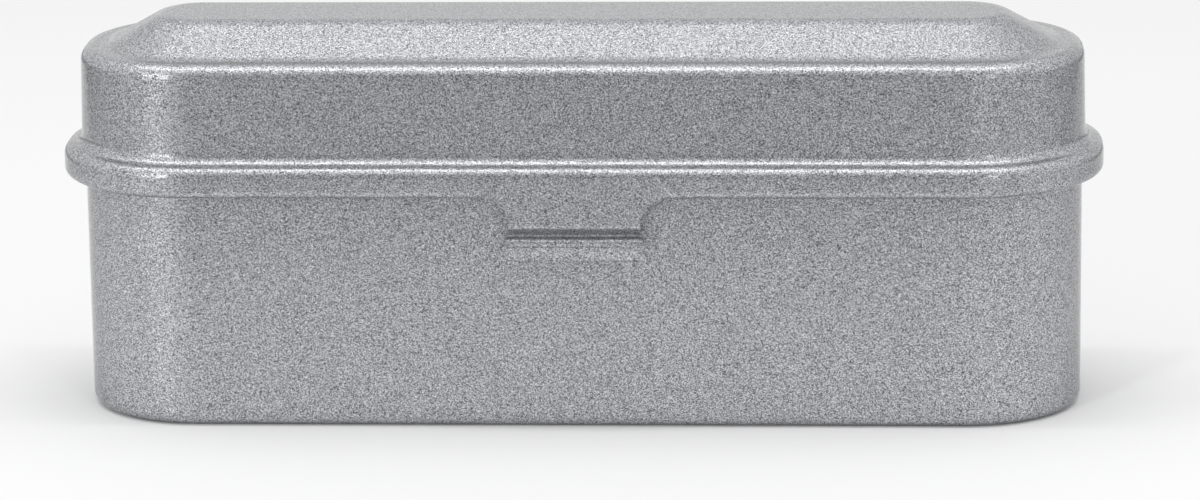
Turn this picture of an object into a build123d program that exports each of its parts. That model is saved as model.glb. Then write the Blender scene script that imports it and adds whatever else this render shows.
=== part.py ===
from build123d import *
import os

# A drawn steel case for upright 35 mm film cassettes, with a hinged lid that snaps shut.
# X runs along the case, the snap tab is on the -Y side, the hinges are on the +Y side, and Z is up.
# The origin is the centre of the base, on the surface that the case stands on.

# Cassettes and their wells
cassette_diameter = 25.0
cassette_height = 51.0
cassette_count = 5
well_play = 0.8
well_wall = 1.8
well_depth = 22.3

# Steel sheet, and the room that the case leaves round the wells
sheet = 0.5
end_room = 4.0
side_room = 5.7
end_flat = 3.0
head_room = 1.3

# Base pan
base_edge_radius = 1.8
panel_inset = 4.5
panel_slope = 0.9
panel_rise = 0.8
panel_edge_radius = 0.7
rim_curl_diameter = 2.0
rim_curl_turn = 275.0
lid_seat_gap = 0.3

# Lid, with overhangs measured outward from the pan's outer wall
lid_wall_height = 15.1
lid_wall_overhang = 0.5
lid_wall_draft = 0.3
lid_rim_radius = 1.95
shoulder_rise = 0.8
shoulder_edge_radius = 1.6
shoulder_root_radius = 1.6
skirt_overhang = 3.2
skirt_height = 4.3
skirt_hem_radius = 1.2
skirt_hem_depth = 1.25
dome_inset = 3.8
dome_run = 8.0
dome_rise = 4.5
dome_root_radius = 3.4
dome_edge_radius = 4.5

# Snap tab, with drops below the skirt's edge and depths inward from the skirt's face
tab_neck_width = 19.5
tab_lip_width = 20.1
tab_corner_radius = 3.5
tab_root_margin = 0.1
tab_bend_drop = 4.25
tab_bend_radius = 1.0
tab_crease_drop = 5.75
tab_crease_depth = 1.5
tab_crease_radius = 0.3
tab_roll_drop = 6.15
tab_roll_depth = 0.0
tab_roll_radius = 0.7
tab_lip_bend_drop = 7.15
tab_lip_bend_depth = 0.15
tab_lip_bend_radius = 0.6
tab_lip_drop = 8.9
tab_lip_depth = -0.8

# Catch bead on the pan, over the tab's crease
catch_bead_length = 15.0
catch_bead_radius = 1.7
catch_bead_proud = 1.25
catch_bead_lift = 3.05

# Hinges, with drops below the hinge axis
hinge_spacing = 84.0
hinge_width = 16.0
hinge_sheet = 0.4
hinge_stand_off = 1.35
hinge_lift = 0.3
hinge_flat_margin = 0.8
pin_radius = 0.5
pin_play = 0.05
pin_head_radius = 0.8
pin_head_thickness = 0.35
middle_knuckle_width = 6.0
knuckle_gap = 0.1
knuckle_turn = 262.0
base_leaf_drop = 8.9
base_leaf_notch_drop = 2.7
base_leaf_bend_drop = 1.0
base_leaf_bend_run = 1.2
base_leaf_bend_radius = 0.8
lid_leaf_lift = 0.4
lid_leaf_corner_radius = 0.6
leaf_corner_radius = 1.2
weld_spot_radius = 0.7
weld_spot_depth = 0.12
weld_spot_spacing = 10.8

# Film tray
tray_play = 0.5
tray_wall = 1.4
tray_deck = 1.6
tray_floor = 1.4
tray_skirt_lift = 0.4
tray_edge_radius = 1.2
well_mouth_radius = 0.8

# Sizes worked out from those above
well_radius = cassette_diameter / 2 + well_play
well_pitch = 2 * well_radius + well_wall
half_length = cassette_count * well_pitch / 2 + end_room
half_depth = well_radius + side_room
plan_radius = half_depth - end_flat / 2
corner_x = half_length - plan_radius
corner_y = half_depth - plan_radius
panel_top = panel_rise + sheet
well_bottom = panel_top + tray_floor
deck_top = well_bottom + well_depth
lid_rim_height = well_bottom + cassette_height + head_room
lid_top_height = lid_rim_height + dome_rise
shoulder_edge_height = lid_rim_height - lid_wall_height
shoulder_root_height = shoulder_edge_height + shoulder_rise
skirt_bottom = shoulder_edge_height - skirt_height
skirt_face = half_depth + skirt_overhang

# The pan's curled rim, whose top lies just under the slope of the lid's shoulder
curl_inner_radius = rim_curl_diameter / 2 - sheet
curl_share = (skirt_overhang - curl_inner_radius) / (skirt_overhang - lid_wall_overhang)
curl_top = shoulder_edge_height + shoulder_rise * curl_share - sheet - lid_seat_gap
curl_centre_height = curl_top - rim_curl_diameter / 2

# The hinge axis, just above the skirt's edge and close behind the pan's rear wall
hinge_y = half_depth + hinge_stand_off
hinge_z = skirt_bottom + hinge_lift
knuckle_bore = pin_radius + pin_play
knuckle_outer = knuckle_bore + hinge_sheet

AT_FLOOR = (Align.CENTER, Align.CENTER, Align.MIN)


def sheet_section(points, radii, thickness):
    """The cut face of a bent sheet: one surface follows the points, and the sheet lies to their left."""
    points = [Vector(*point) for point in points]
    ways = [(end - start).normalized() for start, end in zip(points, points[1:])]
    lefts = [Vector(-way.Y, way.X) for way in ways]
    far_points = [points[0] + lefts[0] * thickness]
    far_radii = []
    for point, before, after, way, next_way, radius in zip(
        points[1:], lefts, lefts[1:], ways, ways[1:], radii
    ):
        far_points.append(point + (before + after) * (thickness / (1 + before.dot(after))))
        turns_left = way.cross(next_way).Z > 0
        far_radii.append(radius - thickness if turns_left else radius + thickness)
    far_points.append(points[-1] + lefts[-1] * thickness)
    near = FilletPolyline(*points, radius=radii)
    far = FilletPolyline(*far_points, radius=far_radii)
    ends = [Line(points[0], far_points[0]), Line(points[-1], far_points[-1])]
    return make_face(near.edges() + far.edges() + [end.edge() for end in ends])


def roll_section(centre, inner_radius, thickness, start, turn):
    """The cut face of a sheet rolled round a centre, from a start angle through a turn."""
    arcs = [CenterArc(centre, radius, start, turn) for radius in (inner_radius, inner_radius + thickness)]
    ends = [Line(arcs[0] @ share, arcs[1] @ share) for share in (0, 1)]
    return make_face([line.edge() for line in arcs + ends])


def drawn_all_round(section, plate_bottom):
    """A section carried round the case's rounded plan, with a flat plate over the middle.

    The section stands on the XZ plane, with X measured outward from the axis of a corner."""
    turned = revolve(section, axis=Axis.Z, revolution_arc=90)
    shape = Pos(0, 0, plate_bottom) * Box(2 * corner_x, 2 * corner_y, sheet, align=AT_FLOOR)
    for turn, (side_x, side_y) in enumerate([(1, 1), (-1, 1), (-1, -1), (1, -1)]):
        corner = Location((side_x * corner_x, side_y * corner_y, 0), (0, 0, 90 * turn))
        run = 2 * corner_x if turn % 2 else 2 * corner_y
        straight = extrude(section, amount=run, dir=(0, -1, 0))
        shape += [corner * turned, corner * straight]
    return shape.clean()


def plan_block(inset, bottom, top):
    """A block with the case's rounded plan, drawn in from the pan's outer wall."""
    plan = RectangleRounded(2 * (half_length - inset), 2 * (half_depth - inset), plan_radius - inset)
    return Pos(0, 0, bottom) * extrude(plan, amount=top - bottom)


# Base pan: one drawn sheet with a raised bottom panel, an outward curled rim and the catch bead
def base_pan():
    wall = sheet_section(
        [
            (0, panel_rise),
            (plan_radius - panel_inset - panel_slope, panel_rise),
            (plan_radius - panel_inset, 0),
            (plan_radius, 0),
            (plan_radius, curl_centre_height),
        ],
        [panel_edge_radius, panel_edge_radius, base_edge_radius],
        sheet,
    )
    curl_centre = (plan_radius + curl_inner_radius, curl_centre_height)
    curl = roll_section(curl_centre, curl_inner_radius, sheet, 180, -rim_curl_turn)
    pan = drawn_all_round(Plane.XZ * (wall + curl), panel_rise)
    inside = plan_block(sheet, panel_rise, curl_centre_height)
    bead = catch_bead(catch_bead_radius) - inside
    return pan + bead - catch_bead(catch_bead_radius - sheet)


def catch_bead(radius):
    """A round-ended rib that lies along the front wall."""
    straight = catch_bead_length - 2 * catch_bead_radius
    rib = Rot(0, 90, 0) * Cylinder(radius, straight)
    for side in (-1, 1):
        rib += Pos(side * straight / 2, 0, 0) * Sphere(radius)
    depth = catch_bead_radius - catch_bead_proud - half_depth
    return Pos(0, depth, skirt_bottom - tab_crease_drop + catch_bead_lift) * rib


# Lid shell: one drawn sheet with dome, rim, wall, shoulder and skirt, and the snap tab below its skirt
def lid_shell():
    section = sheet_section(
        [
            (plan_radius + skirt_overhang - skirt_hem_depth, skirt_bottom),
            (plan_radius + skirt_overhang, skirt_bottom),
            (plan_radius + skirt_overhang, shoulder_edge_height),
            (plan_radius + lid_wall_overhang, shoulder_root_height),
            (plan_radius + lid_wall_overhang - lid_wall_draft, lid_rim_height),
            (plan_radius - dome_inset, lid_rim_height),
            (plan_radius - dome_inset - dome_run, lid_top_height),
            (0, lid_top_height),
        ],
        [
            skirt_hem_radius,
            shoulder_edge_radius,
            shoulder_root_radius,
            lid_rim_radius,
            dome_root_radius,
            dome_edge_radius,
        ],
        sheet,
    )
    shell = drawn_all_round(Plane.XZ * section, lid_top_height - sheet)
    shell = flat_stretch(shell, 0, -1, tab_neck_width + 2 * (tab_corner_radius + tab_root_margin), skirt_bottom)
    for x in (-hinge_spacing / 2, hinge_spacing / 2):
        shell = flat_stretch(shell, x, 1, hinge_width + 2 * hinge_flat_margin, hinge_z)
    return shell + snap_tab()


def flat_stretch(shell, x, side, width, bottom):
    """The shell with its hem cut off and its skirt flat to the edge, where the tab or a hinge leaf lies."""
    hem_top = skirt_bottom + skirt_hem_radius
    cut = Box(width, 2 * skirt_hem_depth, skirt_hem_radius, align=AT_FLOOR)
    flat = Box(width, sheet, hem_top - bottom, align=AT_FLOOR)
    shell -= Pos(x, side * skirt_face, skirt_bottom) * cut
    return shell + Pos(x, side * (skirt_face - sheet / 2), bottom) * flat


def snap_tab():
    """A strip bent in to a crease and out again to a lip, and cut to its outline seen from the front."""
    root_height = shoulder_edge_height - shoulder_edge_radius
    crease_height = skirt_bottom - tab_crease_drop
    roll_height = skirt_bottom - tab_roll_drop
    lip_height = skirt_bottom - tab_lip_drop
    section = sheet_section(
        [
            (-skirt_face, root_height),
            (-skirt_face, skirt_bottom - tab_bend_drop),
            (tab_crease_depth - skirt_face, crease_height),
            (tab_roll_depth - skirt_face, roll_height),
            (tab_lip_bend_depth - skirt_face, skirt_bottom - tab_lip_bend_drop),
            (tab_lip_depth - skirt_face, lip_height),
        ],
        [tab_bend_radius, tab_crease_radius, tab_roll_radius, tab_lip_bend_radius],
        sheet,
    )
    half_neck = tab_neck_width / 2
    half_lip = tab_lip_width / 2
    half_root = half_neck + tab_corner_radius + tab_root_margin
    side = [
        (half_root, root_height),
        (half_root, skirt_bottom),
        (half_neck, skirt_bottom),
        (half_neck, crease_height),
        (half_lip, roll_height),
        (half_lip, lip_height),
    ]
    other_side = [(-x, z) for x, z in reversed(side)]
    outline = make_face(Polyline(*side, *other_side, close=True))
    for x in (-half_neck, half_neck):
        corner = outline.vertices().sort_by_distance((x, skirt_bottom, 0))[0]
        outline = fillet(corner, tab_corner_radius)
    strip = extrude(Plane.YZ * section, amount=half_root, both=True)
    return strip & extrude(Plane.XZ * outline, amount=2 * skirt_face)


# Hinges: a leaf welded to the pan, a leaf welded to the lid's skirt, and a headed pin through both
def base_leaf():
    near_face = hinge_y - knuckle_outer
    bend_height = hinge_z - base_leaf_bend_drop
    plate = sheet_section(
        [
            (near_face, hinge_z),
            (near_face, bend_height),
            (half_depth, bend_height - base_leaf_bend_run),
            (half_depth, hinge_z - base_leaf_drop),
        ],
        [base_leaf_bend_radius, base_leaf_bend_radius],
        hinge_sheet,
    )
    knuckle = roll_section((hinge_y, hinge_z), knuckle_bore, hinge_sheet, 180, -knuckle_turn)
    height = base_leaf_drop + knuckle_outer
    outline = Pos(0, hinge_z - base_leaf_drop + height / 2) * Rectangle(hinge_width, height)
    outline = fillet(outline.vertices().group_by(Axis.Y)[0], leaf_corner_radius)
    notch = Rectangle(middle_knuckle_width + 2 * knuckle_gap, height, align=(Align.CENTER, Align.MIN))
    outline -= Pos(0, hinge_z - base_leaf_notch_drop) * notch
    weld_height = hinge_z - (base_leaf_drop + base_leaf_notch_drop) / 2
    return leaf(plate + knuckle, outline, half_depth + hinge_sheet, weld_height)


def lid_leaf():
    plate_top = shoulder_edge_height - shoulder_edge_radius
    plate_bottom = skirt_bottom + lid_leaf_lift
    plate = sheet_section(
        [
            (skirt_face, plate_top),
            (skirt_face, hinge_z - knuckle_bore),
            (hinge_y, hinge_z - knuckle_bore),
        ],
        [lid_leaf_corner_radius],
        hinge_sheet,
    )
    knuckle = roll_section((hinge_y, hinge_z), knuckle_bore, hinge_sheet, 270, -knuckle_turn)
    outline = Pos(0, (plate_bottom + plate_top) / 2) * Rectangle(hinge_width, plate_top - plate_bottom)
    outline = fillet(outline.vertices().group_by(Axis.Y)[-1], leaf_corner_radius)
    tongue = Rectangle(middle_knuckle_width, plate_top - hinge_z, align=(Align.CENTER, Align.MAX))
    outline += Pos(0, plate_bottom + leaf_corner_radius) * tongue
    plate = leaf(plate, outline, skirt_face + hinge_sheet, (plate_bottom + plate_top) / 2)
    return plate + extrude(Plane.YZ * knuckle, amount=middle_knuckle_width / 2, both=True)


def leaf(section, outline, weld_face, weld_height):
    """A hinge leaf: its section run along X, cut to its outline seen from the rear, with two weld spots."""
    strip = extrude(Plane.YZ * section, amount=hinge_width / 2, both=True)
    shape = strip & extrude(Plane.XZ * outline, amount=-2 * skirt_face)
    spot = Rot(90, 0, 0) * Cylinder(weld_spot_radius, 2 * weld_spot_depth)
    for side in (-1, 1):
        shape -= Pos(side * weld_spot_spacing / 2, weld_face, weld_height) * spot
    return shape


def hinge_pin():
    pin = Cylinder(pin_radius, hinge_width)
    for side in (-1, 1):
        offset = (hinge_width + pin_head_thickness) / 2
        pin += Pos(0, 0, side * offset) * Cylinder(pin_head_radius, pin_head_thickness)
    return Pos(0, hinge_y, hinge_z) * Rot(0, 90, 0) * pin


# Film tray: a moulded deck and skirt with a row of round wells, standing on the pan's raised panel
def film_tray():
    skirt_inset = sheet + tray_play
    tray = plan_block(skirt_inset, panel_top + tray_skirt_lift, deck_top)
    tray = fillet(tray.faces().sort_by(Axis.Z)[-1].edges(), tray_edge_radius)
    tray -= plan_block(skirt_inset + tray_wall, panel_top, deck_top - tray_deck)
    first = -well_pitch * (cassette_count - 1) / 2
    centres = [first + well_pitch * number for number in range(cassette_count)]
    height = deck_top - panel_top
    for x in centres:
        tray += Pos(x, 0, panel_top) * Cylinder(well_radius + tray_wall, height, align=AT_FLOOR)
    for x in centres:
        tray -= Pos(x, 0, well_bottom) * Cylinder(well_radius, well_depth, align=AT_FLOOR)
    mouths = [edge for edge in tray.edges().group_by(Axis.Z)[-1] if is_well_mouth(edge)]
    return fillet(mouths, well_mouth_radius)


def is_well_mouth(edge):
    """Whether an edge of the tray's top runs right round a well."""
    return edge.geom_type == GeomType.CIRCLE and edge.is_closed


parts = {
    "base_pan": base_pan(),
    "lid_shell": lid_shell(),
    "film_tray": film_tray(),
}
for name, side in (("left", -1), ("right", 1)):
    place = Pos(side * hinge_spacing / 2, 0, 0)
    parts[f"hinge_base_leaf_{name}"] = place * base_leaf()
    parts[f"hinge_lid_leaf_{name}"] = place * lid_leaf()
    parts[f"hinge_pin_{name}"] = place * hinge_pin()

os.makedirs("parts", exist_ok=True)
for name, shape in parts.items():
    export_step(shape, f"parts/{name}.step")
    print(name, "solids", len(shape.solids()), "volume", round(shape.volume, 1))
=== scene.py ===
import bmesh
import bpy
from math import cos, pi, radians, sin
from mathutils import Matrix, Vector

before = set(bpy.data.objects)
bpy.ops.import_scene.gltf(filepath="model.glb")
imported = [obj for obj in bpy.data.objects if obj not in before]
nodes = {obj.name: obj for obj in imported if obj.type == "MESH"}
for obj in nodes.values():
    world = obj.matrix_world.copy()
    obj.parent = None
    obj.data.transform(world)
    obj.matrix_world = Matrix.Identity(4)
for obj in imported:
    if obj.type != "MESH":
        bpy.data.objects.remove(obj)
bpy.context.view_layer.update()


# Base pan
# The lower half is one sheet of tinned steel, drawn to depth, with its rim curled outward and a catch bead
# pressed out of the front wall. It is sprayed inside and out with silver lacquer full of fine flakes.
BRIGHT_FLAKE = (0.92, 0.935, 0.98)
FLAKE_SIZE = 0.000085
FLAKE_SPREAD = 1.4
FLAKE_TILT = 0.3
LACQUER_ROUGHNESS = 0.34
LACQUER_METAL = 0.78
LACQUER_EDGE = (0.1, 0.1, 0.1, 1.0)
COAT_WEIGHT = 1.0
COAT_ROUGHNESS = 0.12
COAT_IOR = 1.45


def new_material(name, values):
    """A material whose Principled shader has the given plain values."""
    material = bpy.data.materials.new(name)
    material.use_nodes = True
    for socket, value in values.items():
        material.node_tree.nodes["Principled BSDF"].inputs[socket].default_value = value
    return material


def object_texture(tree, kind, size):
    """A texture fixed to the piece, with features of about the given size in metres."""
    place = tree.nodes.new("ShaderNodeTexCoord")
    texture = tree.nodes.new(kind)
    texture.inputs["Scale"].default_value = 1 / size
    tree.links.new(place.outputs["Object"], texture.inputs["Vector"])
    return texture


def worked_out(tree, kind, operation, inputs):
    """The result of a Math or Vector Math node, whose inputs take other nodes' outputs or plain values."""
    node = tree.nodes.new(kind)
    node.operation = operation
    for socket, value in inputs.items():
        if isinstance(value, bpy.types.NodeSocket):
            tree.links.new(value, node.inputs[socket])
        else:
            node.inputs[socket].default_value = value
    return node.outputs[0]


def silver_lacquer():
    """Each cell of the pattern is one flake. Its colour's first part says how bright it is, and all three
    parts, from -0.5 to 0.5, how far it tilts out of the surface."""
    material = new_material("silver_flake_lacquer", {
        "Metallic": LACQUER_METAL,
        "Roughness": LACQUER_ROUGHNESS,
        "Specular Tint": LACQUER_EDGE,
        "Coat Weight": COAT_WEIGHT,
        "Coat Roughness": COAT_ROUGHNESS,
        "Coat IOR": COAT_IOR,
    })
    tree = material.node_tree
    shader = tree.nodes["Principled BSDF"]
    flakes = object_texture(tree, "ShaderNodeTexVoronoi", FLAKE_SIZE).outputs["Color"]
    parts = tree.nodes.new("ShaderNodeSeparateXYZ")
    tree.links.new(flakes, parts.inputs[0])
    brightness = worked_out(tree, "ShaderNodeMath", "POWER", {0: parts.outputs["X"], 1: FLAKE_SPREAD})
    colour = worked_out(tree, "ShaderNodeVectorMath", "SCALE", {0: BRIGHT_FLAKE, "Scale": brightness})
    tree.links.new(colour, shader.inputs["Base Color"])
    centred = worked_out(tree, "ShaderNodeVectorMath", "SUBTRACT", {0: flakes, 1: (0.5, 0.5, 0.5)})
    tilt = worked_out(tree, "ShaderNodeVectorMath", "SCALE", {0: centred, "Scale": FLAKE_TILT})
    surface = tree.nodes.new("ShaderNodeNewGeometry").outputs["Normal"]
    facing = worked_out(tree, "ShaderNodeVectorMath", "ADD", {0: surface, 1: tilt})
    unit = worked_out(tree, "ShaderNodeVectorMath", "NORMALIZE", {0: facing})
    tree.links.new(unit, shader.inputs["Normal"])
    return material


def paint(names, material):
    """Gives the named CAD pieces one material."""
    for name in names:
        nodes[name].data.materials.clear()
        nodes[name].data.materials.append(material)


lacquer = silver_lacquer()
paint(["base_pan"], lacquer)


# Film tray
# A black moulding in matt plastic, with a row of five round wells that hold film upright. It stands loose on
# the pan's raised panel, and the closed lid keeps it in.
TRAY_BLACK = (0.022, 0.022, 0.024, 1.0)
TRAY_ROUGHNESS = 0.55
GRAIN_SIZE = 0.0006
GRAIN_DETAIL = 2
GRAIN_DEPTH = 0.00005
GRAIN_STRENGTH = 0.25


def black_moulding():
    material = new_material("matt_black_moulding", {"Base Color": TRAY_BLACK, "Roughness": TRAY_ROUGHNESS})
    tree = material.node_tree
    grain = object_texture(tree, "ShaderNodeTexNoise", GRAIN_SIZE)
    grain.inputs["Detail"].default_value = GRAIN_DETAIL
    bump = tree.nodes.new("ShaderNodeBump")
    bump.inputs["Strength"].default_value = GRAIN_STRENGTH
    bump.inputs["Distance"].default_value = GRAIN_DEPTH
    tree.links.new(grain.outputs["Fac"], bump.inputs["Height"])
    tree.links.new(bump.outputs["Normal"], tree.nodes["Principled BSDF"].inputs["Normal"])
    return material


paint(["film_tray"], black_moulding())


# Hinges
# Each hinge has two leaves of sheet steel, welded on before the case is sprayed, on a plated wire pin with
# peened heads.
PLATED_STEEL = (0.6, 0.6, 0.58, 1.0)
WIRE_ROUGHNESS = 0.3

wire = new_material("zinc_plated_wire", {
    "Base Color": PLATED_STEEL,
    "Metallic": 1.0,
    "Roughness": WIRE_ROUGHNESS,
})
for side in ("left", "right"):
    paint([f"hinge_base_leaf_{side}", f"hinge_lid_leaf_{side}"], lacquer)
    paint([f"hinge_pin_{side}"], wire)


# Lid shell
# The upper half is drawn from one sheet too: dome, rim, wall, shoulder and skirt, with the snap tab bent from
# a tongue of the same sheet. It has the pan's silver lacquer.
paint(["lid_shell"], lacquer)


# Floor
# A plain pale table top that runs out of sight behind the case.
FLOOR_SIZE = 8.0
FLOOR_WHITE = 0.97
MATT_ROUGHNESS = 0.9


def matt_grey(name, level):
    """A grey of the given level, without gloss."""
    return new_material(name, {
        "Base Color": (level, level, level, 1.0),
        "Roughness": MATT_ROUGHNESS,
        "Specular IOR Level": 0.0,
    })


def pale_floor():
    bpy.ops.mesh.primitive_plane_add(size=FLOOR_SIZE)
    floor = bpy.context.object
    floor.name = "floor"
    floor.data.materials.append(matt_grey("pale_floor", FLOOR_WHITE))


pale_floor()


# Light
# A large soft box and a bright tube hang over the case, a narrow light stands at each side of the camera, and
# the room is an even white. One grey card stands before the case and three lie round it, and they show in its
# gloss alone.
ROOM_LEVEL = 0.63
TOP_HEIGHT = 0.9
TOP_WIDTH = 1.2
TOP_DEPTH = 0.6
TOP_RADIANCE = 0.72
TUBE_PLACE = (0, -0.1, 0.89)
TUBE_WIDTH = 0.04
TUBE_RADIANCE = 12.0
STRIP_HEIGHT = 0.6
STRIP_TARGET = (0, 0, 0.03)
STRIPS = {
    "left_strip": {"place": (-0.56, -1.0, 0.3), "width": 0.12, "radiance": 13.5},
    "right_strip": {"place": (0.5, -1.0, 0.3), "width": 0.1, "radiance": 6.75},
}
CARD_WIDTH = 2.4
STANDING_GAP = 1.25
STANDING_HEIGHT = 1.0
STANDING_GREY = 0.1
LYING_CARDS = {
    "left": {"turn": -90, "gap": 0.24},
    "front": {"turn": 0, "gap": 0.12},
    "right": {"turn": 90, "gap": 0.24},
}
LYING_DEPTH = 1.1
LYING_HEIGHT = 0.002
LYING_GREY = 0.42


def white_room():
    """An even white all round: full white to the camera and in a gloss, and less than that as light."""
    world = bpy.data.worlds.new("white_room")
    bpy.context.scene.world = world
    world.use_nodes = True
    tree = world.node_tree
    background = tree.nodes["Background"]
    background.inputs["Color"].default_value = (1.0, 1.0, 1.0, 1.0)
    ray = tree.nodes.new("ShaderNodeLightPath").outputs
    seen = worked_out(tree, "ShaderNodeMath", "MAXIMUM", {0: ray["Is Camera Ray"], 1: ray["Is Glossy Ray"]})
    full = worked_out(tree, "ShaderNodeMath", "MAXIMUM", {0: seen, 1: ray["Is Transmission Ray"]})
    strength = tree.nodes.new("ShaderNodeMapRange")
    strength.inputs["To Min"].default_value = ROOM_LEVEL
    tree.links.new(full, strength.inputs["Value"])
    tree.links.new(strength.outputs["Result"], background.inputs["Strength"])


def soft_box(name, place, target, width, height, radiance):
    """A flat lamp of the given size and brightness that faces its target."""
    lamp = bpy.data.lights.new(name, "AREA")
    lamp.shape = "RECTANGLE"
    lamp.size = width
    lamp.size_y = height
    lamp.energy = radiance * pi * width * height
    box = bpy.data.objects.new(name, lamp)
    box.location = place
    box.rotation_euler = (Vector(target) - Vector(place)).to_track_quat("-Z", "Y").to_euler()
    box.visible_camera = False
    bpy.context.scene.collection.objects.link(box)


def grey_card(name, size, place, lean, turn, grey):
    """A card that leans back from flat, stands off from the case and faces it from a turn round it.
    It shows in the case's gloss alone."""
    mesh = bmesh.new()
    bmesh.ops.create_grid(mesh, x_segments=1, y_segments=1, size=0.5)
    bmesh.ops.scale(mesh, vec=(*size, 1), verts=mesh.verts)
    bmesh.ops.rotate(mesh, matrix=Matrix.Rotation(radians(lean), 3, "X"), verts=mesh.verts)
    bmesh.ops.translate(mesh, vec=place, verts=mesh.verts)
    bmesh.ops.rotate(mesh, matrix=Matrix.Rotation(radians(turn), 3, "Z"), verts=mesh.verts)
    data = bpy.data.meshes.new(name)
    mesh.to_mesh(data)
    mesh.free()
    data.materials.append(matt_grey(name, grey))
    card = bpy.data.objects.new(name, data)
    card.visible_camera = False
    card.visible_diffuse = False
    card.visible_shadow = False
    bpy.context.scene.collection.objects.link(card)


white_room()
soft_box("top_box", (0, 0, TOP_HEIGHT), (0, 0, 0), TOP_WIDTH, TOP_DEPTH, TOP_RADIANCE)
soft_box("top_tube", TUBE_PLACE, (0, 0, 0), TOP_WIDTH, TUBE_WIDTH, TUBE_RADIANCE)
for name, strip in STRIPS.items():
    soft_box(name, target=STRIP_TARGET, height=STRIP_HEIGHT, **strip)
place = (0, -STANDING_GAP, STANDING_HEIGHT / 2)
grey_card("front_card", (CARD_WIDTH, STANDING_HEIGHT), place, lean=90, turn=0, grey=STANDING_GREY)
for side, card in LYING_CARDS.items():
    name = f"lying_card_{side}"
    place = (0, -card["gap"] - LYING_DEPTH / 2, LYING_HEIGHT)
    grey_card(name, (CARD_WIDTH, LYING_DEPTH), place, lean=0, turn=card["turn"], grey=LYING_GREY)


# Camera
# It stands 0.8 m in front of the case, a little to the right, and looks down on it.
CAMERA_PLACE = (0.05181, -0.8, 0.2234)
CAMERA_YAW = -0.06167
CAMERA_PITCH = 0.2456
CAMERA_ROLL = -0.01377
CAMERA_LENS = 163.74
CAMERA_REACH = 50


def place_camera():
    """Aims the camera by a yaw from straight ahead, a pitch down from level and a roll of the picture."""
    straight = Vector((sin(CAMERA_YAW), cos(CAMERA_YAW), 0))
    level = Vector((cos(CAMERA_YAW), -sin(CAMERA_YAW), 0))
    ahead = cos(CAMERA_PITCH) * straight - sin(CAMERA_PITCH) * Vector((0, 0, 1))
    above = level.cross(ahead)
    right = cos(CAMERA_ROLL) * level + sin(CAMERA_ROLL) * above
    up = -sin(CAMERA_ROLL) * level + cos(CAMERA_ROLL) * above
    camera = bpy.data.objects.new("camera", bpy.data.cameras.new("camera"))
    camera.data.lens = CAMERA_LENS
    camera.data.clip_end = CAMERA_REACH
    turn = Matrix((right, up, -ahead)).transposed().to_4x4()
    camera.matrix_world = Matrix.Translation(CAMERA_PLACE) @ turn
    bpy.context.scene.collection.objects.link(camera)
    bpy.context.scene.camera = camera


place_camera()
bpy.context.scene.view_settings.view_transform = "Standard"
